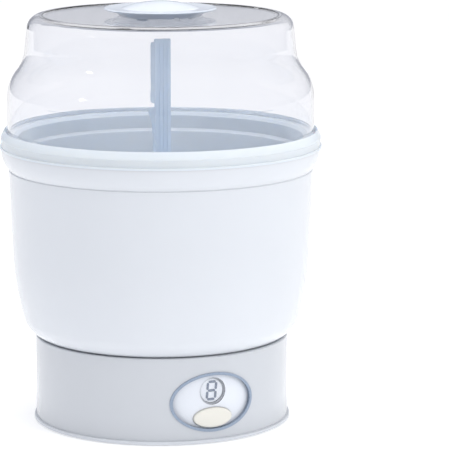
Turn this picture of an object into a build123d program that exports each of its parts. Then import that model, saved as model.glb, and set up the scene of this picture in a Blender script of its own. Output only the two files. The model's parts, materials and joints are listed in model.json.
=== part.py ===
from build123d import *
import math
import os

# Electric steam steriliser for baby bottles, in millimetres.
# +Z is up, the origin is the middle of the footprint on the table, and the control panel faces -Y.
# A mains-heated plate boils a little water in the tub. The steam rises through the slotted basket,
# which hangs in the tub by its rim, and fills the clear lid that stands on the basket's rim.

# ---- base ----
FOOT_LIFT = 1.0           # gap under the bottom cover, left by the rubber feet
COVER_T = 2.5             # bottom cover plate
COVER_OVERHANG = 1.8      # how far the cover shows outside the skirt
COVER_EDGE_R = 0.8
SKIRT_R = 103.5           # base skirt, outside
SKIRT_WALL = 2.6
SKIRT_TOP = 70.5          # height of the skirt's top face
SKIRT_FLANGE_T = 2.5      # inward flange that carries the shell
SKIRT_EDGE_R = 1.0
RIB_T = 2.0               # locating rib on the cover
RIB_H = 3.5
FIT = 0.2                 # clearance of parts that locate in each other
TIGHT_FIT = 0.1           # clearance of parts that are pressed or clipped in
CUT_PAST = 10.0           # how far cutting shapes reach past the face they cut

FOOT_R = 8.0
FOOT_T = 2.2
FOOT_EDGE = 0.5           # bevel on the feet
FOOT_IN = 17.5            # feet, in from the skirt's outside
FOOT_COUNT = 4
COVER_SCREW_ANGLES = (15, 165, 195, 345)
COVER_SCREW_IN = 15.5     # screws, in from the skirt's outside
COVER_BOSS_R = 4.5
COVER_BOSS_H = 22.0
COVER_BOSS_WEB_T = 2.0
COVER_BOSS_CLEAR = 1.0    # air above the cover rib and past the screws' tips
COVER_HEAD_H = 1.2        # flat heads, sunk into half the cover
COVER_SCREW_BITE = 9.0    # how far the screws reach into their bosses
VENT_COUNT = 8
VENT_L = 22.0
VENT_W = 3.0
VENT_PITCH_R = 45.0

# ---- outer shell ----
SHELL_WALL = 2.5
SHELL_TOP = 207.5         # height of the shell's top face
SHELL_TOP_R = 123.9       # shell's widest radius: the body's size in plan
SHELL_CURVE_H = 69.5      # curved part, measured up from the skirt
SHELL_TAPER = 2.5         # how much narrower the straight side is at its foot
SHELL_EDGE_H = 0.8        # bevel under the top face
SHELL_EDGE_W = 0.5
SHELL_LIP_W = 4.4         # width of the shell's top face and bevel
SHELL_UPPER_ARC_R = 240.0
SHELL_UPPER_ARC = 13.4    # degrees
SHELL_FOOT_LEAN = 72.0    # degrees that the wall leans in where it meets the skirt
SHELL_RING_IN = 17.3      # the shell's bottom opening, in from the skirt's outside
SPIGOT_T = 2.0
SPIGOT_H = 4.0            # how far the shell's spigot drops into the skirt

# ---- tub ----
TUB_WALL = 2.5
TUB_FLOOR_Z = 76.5        # underside of the tub's floor
TUB_FLOOR_R = 100.3
TUB_PLATE_LAP = 6.5       # how far the heating plate laps under the floor's edge
TUB_NECK_PLAY = 0.3       # between the tub and the shell's top opening
TUB_FLARE_IN = 0.5        # flare's foot, in from the shell's widest radius
TUB_RIM_OUT = 6.1         # rim, out from it
TUB_RIM_STRAIGHT = 1.5    # upright part of the rim, above the flare
TUB_RIM_RISE = 17.5       # rim's top above the shell's top
BODY_SCREW_COUNT = 6
BODY_SCREW_IN = 9.5       # in from the skirt's outside
BODY_POST_R = 3.5
FLOOR_BITE = 0.8          # how far the screws reach into the tub's floor
FLOOR_HOLE = 1.0

# ---- heater ----
PLATE_R = 79.5
PLATE_T = 1.5
DISH_IN = 5.0             # dish pressed in the plate, in from the floor's opening
DISH_SLOPE_W = 3.0
SEAL_IN = 0.5             # seal, out from the floor's opening
SEAL_T = 1.5
RETAINER_T = 2.0
RETAINER_LAP = 11.5       # how far the retainer laps under the plate
RETAINER_PLAY = 0.6       # between the retainer and the shell's ring
RETAINER_SCREW_OUT = 3.5  # screws, out from the plate's edge
RETAINER_SCREW_COUNT = 6
RETAINER_BOSS_R = 2.6
SPREADER_IN = 6.0         # spreader's edge, in from the retainer's opening
SPREADER_T = 3.0
ELEMENT_IN = 12.0         # element's centre line, in from the spreader's edge
ELEMENT_TUBE_R = 3.3
ELEMENT_GAP_DEG = 40.0    # open part of the ring, at the back
ELEMENT_LEG = 9.0
COLLAR_OUT = 1.2          # ceramic collar, out from the element's tube
COLLAR_H = 4.0
TAB_L = 10.0              # spade tabs
TAB_W = 6.3
TAB_T = 0.8
THERMOSTAT_R = 8.0
THERMOSTAT_H = 7.0
THERMOSTAT_EAR_L = 26.0
THERMOSTAT_EAR_W = 8.0
THERMOSTAT_EAR_T = 1.0
THERMOSTAT_TAB_L = 8.0
THERMOSTAT_TAB_X = 4.0
FUSE_R = 3.4
FUSE_L = 15.0
FUSE_SHARE = 4.0 / 13.7   # part of the clip's spare room that is left beside the thermostat
FUSE_WIRE_R = 0.6
FUSE_WIRE_OUT = 7.0
CLIP_W = 8.0
CLIP_T = 1.0
CLIP_FOOT = 20.0

# ---- screws ----
SCREW_R = 1.4
SCREW_HEAD_R = 2.8
SCREW_HEAD_H = 1.8
SCREW_PLAY = 0.1          # radial clearance of a screw in its hole

# ---- control panel ----
PANEL_Z = 33.5
TRIM_A = 35.8             # trim ring, half width and half height
TRIM_B = 24.0
TRIM_W = 2.2
TRIM_LIP = 1.0            # part of the trim that lies on the skirt
TRIM_PROUD = 0.9
PANEL_RECESS = 2.3
PANEL_T = 2.5
PANEL_FLANGE = 2.7        # how far the panel's rear flange passes the skirt's opening
TRIM_LAP = 0.2            # how far the trim's neck reaches behind the panel's face
GASKET_T = 0.8
WINDOW_R = 11.0
WINDOW_UP = 8.3           # above the panel's middle
WINDOW_T = 2.0
WINDOW_PROUD = 0.3
WINDOW_LEDGE = 1.2        # width of the ledge it sits on
DIGIT_GAP = 0.8           # between window and digit
BUTTON_A = 16.6
BUTTON_B = 8.15
BUTTON_DOWN = 13.0        # below the panel's middle
BUTTON_PROUD = 1.9
BUTTON_WALL = 1.4
BUTTON_PLAY = 0.3
BUTTON_TRAVEL = 1.5
BUTTON_FLANGE = 1.3
BUTTON_FLANGE_T = 1.3
BUTTON_FLANGE_SINK = 0.15 # the flange bears on the panel's curved rear by this much less
BUTTON_EDGE_R = 1.2
BUTTON_ROOM = 2.3         # cap's front wall
PLUNGER_R = 2.2
DIGIT_W = 9.0
DIGIT_H = 16.0
DIGIT_LEAN = 5.0          # degrees
SEGMENT_W = 1.9
SEGMENT_GAP = 0.5
SEGMENT_T = 0.4

# ---- control board ----
BOARD_W = 62.0
BOARD_H = 44.0
BOARD_T = 1.6
BOARD_STANDOFF = 12.1     # board's front face behind the panel
BOARD_POST_X = 26.0
BOARD_POST_DZ = 8.0
BOARD_POST_R = 3.0
BOARD_POST_HOLE = 6.0
BOARD_POST_ROOT = 0.5     # how far the posts run into the panel
BOARD_SCREW_BITE = 5.0
MODULE_W = 22.0
MODULE_H = 24.0
MODULE_DROP = 7.0         # case below the window's middle, clear of the button
MODULE_GAP = 2.2          # case behind the panel
LIGHT_R = 2.5
LIGHT_X = 9.0
LIGHT_L = 5.5
SWITCH_W = 6.0
SWITCH_D = 3.2
SWITCH_TIP_R = 1.7
SWITCH_TIP = 1.1
RELAY = (19.0, 15.5, 15.5)           # across, deep, high
RELAY_AT = (-20.0, -8.0)             # left edge, and lower edge from the panel's middle
TRANSFORMER = (18.0, 16.0, 16.0)
TRANSFORMER_AT = (4.0, -17.0)
CAPACITOR_R = 4.0
CAPACITOR_L = 14.0
CAPACITOR_X = (7.0, 17.0)
CAPACITOR_UP = 13.0
LEAD_R = 1.3
LEAD_END = 16.0                      # last run of the lead, straight up to the tab
LEAD_ROUTE = [                       # across, behind the board, above the panel's middle
    (27.0, 0.0, -18.0),
    (27.0, 14.0, -18.0),
    (34.0, 40.0, -24.0),
    (40.0, 75.0, -25.0),
    (33.0, 108.0, -22.0),
]

# ---- cord entry ----
GLAND_Z = 16.0
GLAND_R = 6.4
GLAND_FLANGE_R = 9.0
GLAND_INNER_FLANGE_R = 8.4
GLAND_OUT = 3.0           # how far the gland stands out of the skirt
GLAND_IN = 4.0
CORD_HOLE_R = 3.6

# ---- basket ----
BASKET_WALL = 2.2
BASKET_FLOOR_R = 95.0     # inside
BASKET_LIFT = 7.3         # basket's underside above the tub's floor
BASKET_COLLAR_IN = 10.2   # collar's inside, in from the lid's seat
BASKET_STEP_IN = 4.2      # step, in from the collar
BASKET_STEP_DROP = 15.5   # step, below the lid's seat
BASKET_STEP_RISE = 2.0
RING_OUT = 1.0            # rim ring, out from the tub's rim: the widest part of the object
RING_WALL = 2.8
RING_H = 11.5             # lid seat above the tub's rim
RING_BEAD_H = 1.8         # bead round the ring's foot
RING_BEAD_OUT = 0.7
RING_FACE_H = 7.5         # upright part of the ring's face, bead included
RING_LIP = 2.6            # lip above the lid seat
RING_LIP_DRAFT = 0.5      # how much the groove widens towards the lip's top
RING_LIP_W = 0.7          # flat on the lip
RING_PANEL_H = 1.0        # fine step under the bevel
RING_PANEL_IN = 0.35
RING_RIB_T = 1.6          # rib that centres the basket in the tub's rim
RING_RIB_H = 3.0          # how far the rib reaches below the rim
RING_RIB_PLAY = 0.5
LID_SEAT_IN = 4.6         # groove's outer wall, in from the ring's outside
COLLAR_BEVEL = 3.0        # bevel between the lid seat and the collar
COLLAR_DRAFT = 0.6
BOTTLE_COUNT = 6
BOTTLE_PITCH_R = 61.0
DIVIDER_L = 44.0          # low ribs that keep neighbouring bottles apart
DIVIDER_T = 1.6
DIVIDER_H = 6.0
SLOTS_PER_BOTTLE = 5
SLOT_L = 34.0
SLOT_W = 4.0
SLOT_PITCH = 8.5

# ---- stem ----
STEM_W = 13.7
STEM_D = 9.4
STEM_T = 2.4
STEM_TOP_BELOW_LID = 18.0
STEM_WING_DROP = 4.0      # side webs end this far below the stem's top
STEM_NOTCH_H = 6.0        # gap that a small-parts tray would sit in
STEM_NOTCH_DROP = 59.2    # notch, below the stem's top
STEM_HOOK_REACH = 14.6
STEM_HOOK_H = 20.0
STEM_HOOK_SWELL = 2.4     # how far the web has swelled half way up the hook
STEM_HOOK_TIP = 1.4       # thickness of the hook's tip
STEM_HOOK_DROP = 1.2      # tip, below the notch
STEM_HOOK_RISE = 3.2      # web above the notch, against the front plate
STEM_TOP_R = 1.0
STEM_TIE_T = 2.0
STEM_TIE_DROP = 40.0      # upper tie, below the hook
STEM_LOWER_D = 5.8
STEM_CORNER_R = 3.0
STEM_GROOVES = 3
GROOVE_D = 0.35
GROOVE_W = 1.0
GROOVE_PITCH = 3.3
SOCKET_H = 14.0
SOCKET_WALL = 2.0
SOCKET_CORNER_R = 2.0
GROOVE_START = 8.0        # above the socket
GROOVE_END = 4.0          # below the stem's top

# ---- lid ----
LID_WALL = 2.0
LID_WALL_IN = 1.6         # lid's wide part, in from the groove's outer wall
LID_FOOT_PLAY = 0.5
LID_FOOT_H = 1.2
LID_FOOT_SLOPE_H = 2.3
LID_WIDE_H = 29.5         # straight part above the seat
LID_SHOULDER_W = 15.0     # how far the shoulder draws in
LID_SHOULDER_H = 42.0
LID_UPPER_H = 14.5
LID_UPPER_DRAFT = 1.6
LID_CORNER_R = 10.0
LID_TOP_DROP = 0.8        # the top's middle lies this far below its rim
LID_DROP_IN = 2.6         # flat between the corner and the drop
LID_DROP_W = 1.2

# ---- lid handle ----
KNOB_R = 45.7
KNOB_NECK_TOP_R = 39.0
KNOB_NECK_R = 33.0
KNOB_NECK_H = 4.6
KNOB_EDGE_T = 1.8
KNOB_DOME_R = 31.5
KNOB_DOME_SUNK = 0.5      # dome's edge lies this far below the flange's rim
KNOB_DOME_H = 11.8        # dome's top above the lid's top
NOTCH_W = 5.0             # steam notches at the neck's foot
NOTCH_H = 1.2
KNOB_WALL = 2.0
LEG_COUNT = 3
LEG_PITCH_R = 24.0
LEG_W = 9.0
LEG_T = 1.8
LEG_BARB = 1.0
LEG_BARB_H = 2.2
LEG_PLAY = 0.4
VENT_HOLE_R = 2.4

# ---- radii and heights that follow ----
SHELL_BEND_R = SHELL_TOP_R - SHELL_TAPER
SHELL_BEND_Z = SKIRT_TOP + SHELL_CURVE_H
SHELL_SHOULDER_Z = SHELL_TOP - SHELL_EDGE_H
SHELL_LIP_R = SHELL_TOP_R - SHELL_LIP_W
SHELL_RING_R = SKIRT_R - SHELL_RING_IN
FOOT_PITCH_R = SKIRT_R - FOOT_IN
COVER_SCREW_R = SKIRT_R - COVER_SCREW_IN
BODY_SCREW_R = SKIRT_R - BODY_SCREW_IN
TUB_HOLE_R = PLATE_R - TUB_PLATE_LAP
TUB_FLARE_R = SHELL_TOP_R - TUB_FLARE_IN
TUB_RIM_R = SHELL_TOP_R + TUB_RIM_OUT
RETAINER_HOLE_R = PLATE_R - RETAINER_LAP
RETAINER_SCREW_R = PLATE_R + RETAINER_SCREW_OUT
SPREADER_R = RETAINER_HOLE_R - SPREADER_IN
ELEMENT_PITCH_R = SPREADER_R - ELEMENT_IN
CLIP_ROOM = ELEMENT_PITCH_R - ELEMENT_TUBE_R - THERMOSTAT_EAR_L / 2 - CLIP_FOOT
FUSE_X = THERMOSTAT_EAR_L / 2 + FUSE_SHARE * CLIP_ROOM + CLIP_FOOT / 2
RING_R = TUB_RIM_R + RING_OUT
LID_SEAT_R = RING_R - LID_SEAT_IN
BASKET_COLLAR_R = LID_SEAT_R - BASKET_COLLAR_IN
BASKET_STEP_R = BASKET_COLLAR_R - BASKET_STEP_IN
LID_R = LID_SEAT_R - LID_WALL_IN
LID_NECK_R = LID_R - LID_SHOULDER_W
COVER_TOP = FOOT_LIFT + COVER_T
SKIRT_IN_R = SKIRT_R - SKIRT_WALL
TUB_RIM_Z = SHELL_TOP + TUB_RIM_RISE
LID_SEAT_Z = TUB_RIM_Z + RING_H
LID_SHOULDER_Z = LID_SEAT_Z + LID_WIDE_H
LID_RIM_Z = LID_SHOULDER_Z + LID_SHOULDER_H + LID_UPPER_H + LID_CORNER_R
LID_TOP_Z = LID_RIM_Z - LID_TOP_DROP
SEAL_Z = TUB_FLOOR_Z - SEAL_T
PLATE_Z = SEAL_Z - PLATE_T
SPREADER_Z = PLATE_Z - SPREADER_T
BASKET_FLOOR_Z = TUB_FLOOR_Z + TUB_WALL + BASKET_LIFT
STEM_TOP_Z = LID_TOP_Z - STEM_TOP_BELOW_LID
PANEL_FACE_R = SKIRT_R - PANEL_RECESS
PANEL_BACK_R = PANEL_FACE_R - PANEL_T
WINDOW_BACK_R = PANEL_FACE_R + WINDOW_PROUD - WINDOW_T
BOARD_FRONT_Y = BOARD_STANDOFF - PANEL_BACK_R
BOARD_Y = BOARD_FRONT_Y + BOARD_T
STEM_NOTCH_Z = STEM_TOP_Z - STEM_NOTCH_DROP


# ---- helpers ----
def turned(section):
    """Solid of a half-section (x is radius, y is height) turned about Z."""
    return revolve(Plane.XZ * section, Axis.Z, 360)


def wall(path, thickness):
    """Half-section of a wall whose outer face follows path, seen with the axis on its left."""
    return make_face(offset(path, thickness, side=Side.LEFT, closed=True))


def upright(radius, bottom, top, x=0.0, y=0.0):
    """Upright cylinder between two heights."""
    return Pos(x, y, bottom) * Cylinder(radius, top - bottom, align=(Align.CENTER, Align.CENTER, Align.MIN))


def tube(outer, inner, bottom, top):
    """Upright ring between two heights."""
    return upright(outer, bottom, top) - upright(inner, bottom, top)


def block(x, y, z):
    """Box given by its lowest and highest value along each axis."""
    return Pos(x[0], y[0], z[0]) * Box(x[1] - x[0], y[1] - y[0], z[1] - z[0], align=Align.MIN)


def along_y(sketch, x, z, y_low, y_high):
    """Sketch (x across, y up) placed at x, z and extruded along Y between two values."""
    return extrude(Plane.XZ.offset(-y_high) * Pos(x, z) * sketch, y_high - y_low)


def on_circle(radius, count, start=0.0):
    """Places evenly spaced on a circle about Z."""
    return [Rot(0, 0, start + 360.0 / count * i) * Pos(radius, 0, 0) for i in range(count)]


def screw(top, head_bottom):
    """Pan-head screw that points up from its head."""
    return upright(SCREW_R, head_bottom + SCREW_HEAD_H, top) + upright(
        SCREW_HEAD_R, head_bottom, head_bottom + SCREW_HEAD_H
    )


def screw_hole(bottom, top):
    """Hole for a screw's shank."""
    return upright(SCREW_R + SCREW_PLAY, bottom, top)


# ---- base ----
def bottom_cover():
    """Plate under the base, with a locating rib, vents, foot pockets and sunk screw holes."""
    outer = SKIRT_R + COVER_OVERHANG
    plate = upright(outer, FOOT_LIFT, COVER_TOP)
    plate = fillet(plate.edges().group_by(Axis.Z)[-1], COVER_EDGE_R)
    rib_r = SKIRT_IN_R - FIT
    body = plate + tube(rib_r, rib_r - RIB_T, COVER_TOP, COVER_TOP + RIB_H)
    pocket = FOOT_T - FOOT_LIFT
    for place in on_circle(FOOT_PITCH_R, FOOT_COUNT, 45):
        body -= place * upright(FOOT_R + FIT, FOOT_LIFT, FOOT_LIFT + pocket)
    for angle in COVER_SCREW_ANGLES:
        at = Rot(0, 0, angle) * Pos(COVER_SCREW_R, 0, 0)
        body -= at * upright(SCREW_HEAD_R + FIT, FOOT_LIFT, FOOT_LIFT + COVER_T / 2)
        body -= at * screw_hole(FOOT_LIFT, COVER_TOP)
    slot = extrude(SlotOverall(VENT_L, VENT_W), COVER_T)
    for place in on_circle(VENT_PITCH_R, VENT_COUNT):
        body -= place * Pos(0, 0, FOOT_LIFT) * slot
    return body


def rubber_feet():
    """Four pads, pressed into the cover's pockets."""
    pad = upright(FOOT_R, 0, FOOT_T)
    pad = chamfer(pad.edges().group_by(Axis.Z)[0], FOOT_EDGE)
    return Compound(children=[place * pad for place in on_circle(FOOT_PITCH_R, FOOT_COUNT, 45)])


def cover_screws():
    """Screws that hold the bottom cover to the skirt's bosses."""
    seat = FOOT_LIFT + COVER_T / 2
    shank = upright(SCREW_R, seat - COVER_HEAD_H, COVER_TOP + COVER_SCREW_BITE)
    one = shank + upright(SCREW_HEAD_R, seat - COVER_HEAD_H, seat)
    return Compound(
        children=[Rot(0, 0, a) * Pos(COVER_SCREW_R, 0, 0) * one for a in COVER_SCREW_ANGLES]
    )


def base_skirt():
    """Round base: a plain wall, an inward flange on top, bosses for the cover and openings front and rear."""
    body = tube(SKIRT_R, SKIRT_IN_R, COVER_TOP, SKIRT_TOP)
    body += tube(SKIRT_R, SHELL_RING_R + SPIGOT_T + FIT, SKIRT_TOP - SKIRT_FLANGE_T, SKIRT_TOP)
    top_edges = body.edges().filter_by(GeomType.CIRCLE).group_by(Axis.Z)[-1]
    body = fillet(top_edges.sort_by(SortBy.RADIUS)[-1], SKIRT_EDGE_R)
    for angle in COVER_SCREW_ANGLES:
        turn = Rot(0, 0, angle)
        top = COVER_TOP + COVER_BOSS_H
        boss = upright(COVER_BOSS_R, COVER_TOP, top, COVER_SCREW_R)
        web_y = (-COVER_BOSS_WEB_T / 2, COVER_BOSS_WEB_T / 2)
        web_z = (COVER_TOP + RIB_H + COVER_BOSS_CLEAR, top)
        boss += block((COVER_SCREW_R, SKIRT_R - SKIRT_WALL / 2), web_y, web_z)
        hole_top = COVER_TOP + COVER_SCREW_BITE + COVER_BOSS_CLEAR
        boss -= upright(SCREW_R + SCREW_PLAY, COVER_TOP, hole_top, COVER_SCREW_R)
        body += turn * boss
    hole = Ellipse(TRIM_A - TRIM_LIP, TRIM_B - TRIM_LIP)
    body -= along_y(hole, 0, PANEL_Z, -SKIRT_R - CUT_PAST, -SKIRT_R / 2)
    body -= along_y(Circle(GLAND_R + FIT), 0, GLAND_Z, SKIRT_R / 2, SKIRT_R + CUT_PAST)
    for place in on_circle(BODY_SCREW_R, BODY_SCREW_COUNT, 30):
        body -= place * screw_hole(SKIRT_TOP - SKIRT_FLANGE_T, SKIRT_TOP)
    return body


def cord_gland():
    """Bush where the mains lead enters, flanged on both faces of the skirt."""
    outside = along_y(Circle(GLAND_FLANGE_R), 0, GLAND_Z, SKIRT_R / 2, SKIRT_R + GLAND_OUT)
    outside -= upright(SKIRT_R, 0, SKIRT_TOP)
    inside = along_y(Circle(GLAND_INNER_FLANGE_R), 0, GLAND_Z, SKIRT_IN_R - GLAND_IN, SKIRT_R)
    inside &= upright(SKIRT_IN_R, 0, SKIRT_TOP)
    neck = along_y(Circle(GLAND_R), 0, GLAND_Z, SKIRT_IN_R - GLAND_IN, SKIRT_R + GLAND_OUT)
    hole = along_y(Circle(CORD_HOLE_R), 0, GLAND_Z, SKIRT_R / 2, SKIRT_R + CUT_PAST)
    return outside + inside + neck - hole


# ---- body ----
def outer_shell():
    """White body: a bowl-shaped wall with a lip on top and a ring with a spigot at the bottom."""
    side = Line((SHELL_BEND_R, SHELL_BEND_Z), (SHELL_TOP_R, SHELL_SHOULDER_Z))
    upper = JernArc(side @ 0, -(side % 0), SHELL_UPPER_ARC_R, -SHELL_UPPER_ARC)
    lean = math.degrees(math.atan2(SHELL_TAPER, SHELL_SHOULDER_Z - SHELL_BEND_Z)) + SHELL_UPPER_ARC
    drop = (upper @ 1).Y - SKIRT_TOP
    radius = drop / (math.sin(math.radians(SHELL_FOOT_LEAN)) - math.sin(math.radians(lean)))
    lower = JernArc(upper @ 1, upper % 1, radius, lean - SHELL_FOOT_LEAN)
    foot = Line((SHELL_RING_R, SKIRT_TOP), lower @ 1)
    shoulder = Polyline(side @ 1, (SHELL_TOP_R - SHELL_EDGE_W, SHELL_TOP), (SHELL_LIP_R, SHELL_TOP))
    body = turned(wall(Curve() + [foot, lower, upper, side, shoulder], SHELL_WALL))
    body += tube(SHELL_RING_R + SPIGOT_T, SHELL_RING_R, SKIRT_TOP - SPIGOT_H, SKIRT_TOP + SHELL_WALL)
    for place in on_circle(BODY_SCREW_R, BODY_SCREW_COUNT, 30):
        body -= place * screw_hole(SKIRT_TOP, SKIRT_TOP + SHELL_WALL)
    return body


def tub_outer_path():
    """Outer face of the tub, from the edge of its floor opening to its rim."""
    neck_r = SHELL_LIP_R - TUB_NECK_PLAY
    low = Polyline((TUB_HOLE_R, TUB_FLOOR_Z), (TUB_FLOOR_R, TUB_FLOOR_Z), (neck_r, SHELL_TOP))
    seat = Line(low @ 1, (TUB_FLARE_R, SHELL_TOP))
    rise = TUB_RIM_RISE - TUB_RIM_STRAIGHT
    lean = 2 * math.atan2(TUB_RIM_R - TUB_FLARE_R, rise)
    flare = TangentArc(seat @ 1, (TUB_RIM_R, SHELL_TOP + rise), tangent=(math.sin(lean), math.cos(lean)))
    rim = Line(flare @ 1, (TUB_RIM_R, TUB_RIM_Z))
    return Curve() + [low, seat, flare, rim]


def inner_tub():
    """Water tub with a flared rim, screw posts and bosses under its floor."""
    body = turned(wall(tub_outer_path(), TUB_WALL))
    for place in on_circle(BODY_SCREW_R, BODY_SCREW_COUNT, 30):
        post = upright(BODY_POST_R, SKIRT_TOP + SHELL_WALL, TUB_FLOOR_Z)
        body += place * post
        body -= place * screw_hole(SKIRT_TOP + SHELL_WALL, TUB_FLOOR_Z + FLOOR_HOLE)
    for place in on_circle(RETAINER_SCREW_R, RETAINER_SCREW_COUNT):
        body += place * upright(RETAINER_BOSS_R, PLATE_Z, TUB_FLOOR_Z)
        body -= place * screw_hole(PLATE_Z, TUB_FLOOR_Z + FLOOR_HOLE)
    return body


def body_screws():
    """Screws that clamp skirt, shell and tub together."""
    one = screw(TUB_FLOOR_Z + FLOOR_BITE, SKIRT_TOP - SKIRT_FLANGE_T - SCREW_HEAD_H)
    return Compound(children=[p * one for p in on_circle(BODY_SCREW_R, BODY_SCREW_COUNT, 30)])


# ---- heater ----
def heating_plate():
    """Stainless plate that closes the tub's floor, with a shallow dish pressed in its middle."""
    dish = PLATE_T / 2
    body = upright(PLATE_R, PLATE_Z, SEAL_Z)
    dish_r = TUB_HOLE_R - DISH_IN
    cut = Pos(0, 0, SEAL_Z - dish) * Cone(
        dish_r - DISH_SLOPE_W, dish_r, dish, align=(Align.CENTER, Align.CENTER, Align.MIN)
    )
    return body - cut


def plate_seal():
    """Silicone ring between plate and tub."""
    return tube(PLATE_R - FIT, TUB_HOLE_R + SEAL_IN, SEAL_Z, TUB_FLOOR_Z)


def plate_retainer():
    """Steel ring that presses the plate up against its seal."""
    outer = SHELL_RING_R - RETAINER_PLAY
    body = tube(outer, RETAINER_HOLE_R, PLATE_Z - RETAINER_T, PLATE_Z)
    for place in on_circle(RETAINER_SCREW_R, RETAINER_SCREW_COUNT):
        body -= place * screw_hole(PLATE_Z - RETAINER_T, PLATE_Z)
    return body


def retainer_screws():
    """Screws of the retainer ring."""
    one = screw(TUB_FLOOR_Z + FLOOR_BITE, PLATE_Z - RETAINER_T - SCREW_HEAD_H)
    return Compound(
        children=[p * one for p in on_circle(RETAINER_SCREW_R, RETAINER_SCREW_COUNT)]
    )


def heat_spreader():
    """Aluminium disc between plate and element."""
    return upright(SPREADER_R, SPREADER_Z, PLATE_Z)


def element_ends():
    """The two places, in plan, where the element's ring ends."""
    half = math.radians(ELEMENT_GAP_DEG / 2)
    x = ELEMENT_PITCH_R * math.sin(half)
    y = ELEMENT_PITCH_R * math.cos(half)
    return [(x, y), (-x, y)]


def heating_element():
    """Tubular element: most of a ring under the spreader, with both ends turned down."""
    level = SPREADER_Z - ELEMENT_TUBE_R
    arc = 360 - ELEMENT_GAP_DEG
    start = 90 + ELEMENT_GAP_DEG / 2
    section = Plane.XZ * Pos(ELEMENT_PITCH_R, level) * Circle(ELEMENT_TUBE_R)
    body = Rot(0, 0, start) * revolve(section, Axis.Z, arc)
    for x, y in element_ends():
        body += Pos(x, y, level) * Sphere(ELEMENT_TUBE_R)
        body += upright(ELEMENT_TUBE_R, level - ELEMENT_LEG, level, x, y)
    return body


def element_terminals():
    """Ceramic collar and spade tab on each end of the element."""
    low = SPREADER_Z - ELEMENT_TUBE_R - ELEMENT_LEG
    ends = []
    for x, y in element_ends():
        collar = upright(ELEMENT_TUBE_R + COLLAR_OUT, low - COLLAR_H, low, x, y)
        hang = (Align.CENTER, Align.CENTER, Align.MAX)
        tab = Pos(x, y, low - COLLAR_H) * Box(TAB_W, TAB_T, TAB_L, align=hang)
        ends.append(collar + tab)
    return Compound(children=ends)


def thermostat():
    """Bimetal thermostat with two ears and two tabs, under the spreader's middle."""
    low = SPREADER_Z - THERMOSTAT_H
    body = upright(THERMOSTAT_R, low, SPREADER_Z)
    hang = (Align.CENTER, Align.CENTER, Align.MAX)
    body += Pos(0, 0, SPREADER_Z) * Box(THERMOSTAT_EAR_L, THERMOSTAT_EAR_W, THERMOSTAT_EAR_T, align=hang)
    for x in (-THERMOSTAT_TAB_X, THERMOSTAT_TAB_X):
        body += Pos(x, 0, low) * Box(TAB_T, TAB_W, THERMOSTAT_TAB_L, align=hang)
    return body


def fuse_height():
    """Height of the thermal fuse's axis."""
    return SPREADER_Z - FUSE_R


def thermal_fuse():
    """One-shot fuse lying against the spreader, with its wire ends."""
    body = Pos(FUSE_X, 0, fuse_height()) * Rot(90, 0, 0) * Cylinder(FUSE_R, FUSE_L)
    wires = Pos(FUSE_X, 0, fuse_height()) * Rot(90, 0, 0) * Cylinder(FUSE_WIRE_R, FUSE_L + 2 * FUSE_WIRE_OUT)
    return body + wires


def fuse_clip():
    """Sprung metal saddle that holds the fuse."""
    reach = FUSE_R + TIGHT_FIT
    high = SPREADER_Z - fuse_height()
    lying = Pos(FUSE_X, 0, fuse_height()) * Rot(90, 0, 0)
    standing = Pos(FUSE_X, 0, SPREADER_Z)
    hang = (Align.CENTER, Align.CENTER, Align.MAX)
    outer = lying * Cylinder(FUSE_R + CLIP_T, CLIP_W)
    outer += standing * Box(2 * (FUSE_R + CLIP_T), CLIP_W, high, align=hang)
    outer += standing * Box(CLIP_FOOT, CLIP_W, CLIP_T, align=hang)
    hollow = lying * Cylinder(reach, CLIP_W) + standing * Box(2 * reach, CLIP_W, high, align=hang)
    return (outer & upright(SPREADER_R, 0, SPREADER_Z)) - hollow


# ---- control panel ----
def band(inner, outer):
    """Curved slab between two radii about Z, as high as the skirt."""
    return tube(outer, inner, COVER_TOP, SKIRT_TOP)


def oval(shrink):
    """Elliptical prism through the front of the skirt, as large as the trim but shrunk all round."""
    return through_front(Ellipse(TRIM_A - shrink, TRIM_B - shrink), 0)


def through_front(sketch, up):
    """Sketch extruded through the front of the skirt, at a height from the panel's middle."""
    return along_y(sketch, 0, PANEL_Z + up, -SKIRT_R - CUT_PAST, -SKIRT_R / 2)


def panel_trim():
    """Bright ring round the control panel, lipped over the edge of the skirt's opening."""
    hole = oval(TRIM_W)
    lip = (oval(0) - hole) & band(SKIRT_R, SKIRT_R + TRIM_PROUD)
    neck = (oval(TRIM_LIP + TIGHT_FIT) - hole) & band(PANEL_FACE_R - TRIM_LAP, SKIRT_R)
    return lip + neck


def board_post_places():
    """x and z of the posts between panel and board."""
    return [(sx * BOARD_POST_X, PANEL_Z + sz * BOARD_POST_DZ) for sx in (-1, 1) for sz in (-1, 1)]


def control_panel():
    """Sunk oval face with a window seat, a button opening, a rear flange and posts for the board."""
    flange_r = SKIRT_IN_R - GASKET_T
    body = oval(TRIM_W + TIGHT_FIT) & band(PANEL_BACK_R, PANEL_FACE_R)
    body += oval(TRIM_LIP - PANEL_FLANGE) & band(PANEL_BACK_R, flange_r)
    for x, z in board_post_places():
        post = along_y(Circle(BOARD_POST_R), x, z, -SKIRT_R, BOARD_FRONT_Y)
        body += post & upright(PANEL_BACK_R + BOARD_POST_ROOT, 0, SKIRT_TOP)
        hole_start = BOARD_FRONT_Y - BOARD_POST_HOLE
        body -= along_y(Circle(SCREW_R + SCREW_PLAY), x, z, hole_start, BOARD_FRONT_Y)
    body -= through_front(Circle(WINDOW_R + TIGHT_FIT), WINDOW_UP) & band(WINDOW_BACK_R, SKIRT_R)
    body -= through_front(Circle(WINDOW_R - WINDOW_LEDGE), WINDOW_UP)
    return body - through_front(Ellipse(BUTTON_A + BUTTON_PLAY, BUTTON_B + BUTTON_PLAY), -BUTTON_DOWN)


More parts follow.
